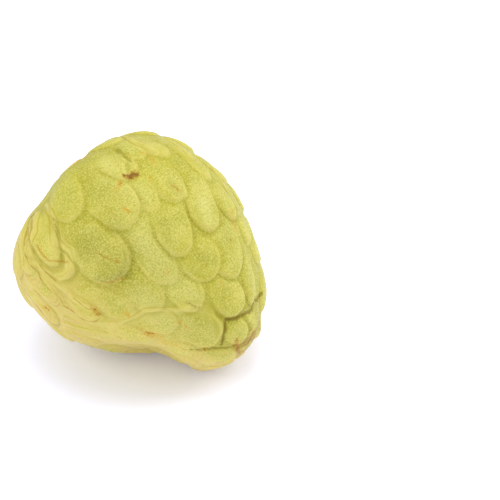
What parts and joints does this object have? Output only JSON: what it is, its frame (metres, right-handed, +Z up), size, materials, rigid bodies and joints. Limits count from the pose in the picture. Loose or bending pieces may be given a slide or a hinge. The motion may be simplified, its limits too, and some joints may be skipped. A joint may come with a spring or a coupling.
{
  "type": "custard apple",
  "caption": "Whole ripe custard apple, a blunt cone with soft overlapping skin scales, lying on its side on a small flat spot.",
  "frame": {"origin": "on the plane the fruit rests on, under the middle of its outline seen from above", "axes": "+Z up; +X is the level direction of the fruit's own axis from the stem end toward the apex, which dips 26 degrees below level"},
  "size_m": [0.1142, 0.1062, 0.1028],
  "materials": {
    "skin": "matt, finely grained yellow-green fruit skin"
  },
  "bodies": {
    "root": {"fruit": "skin"}
  },
  "joints": []
}
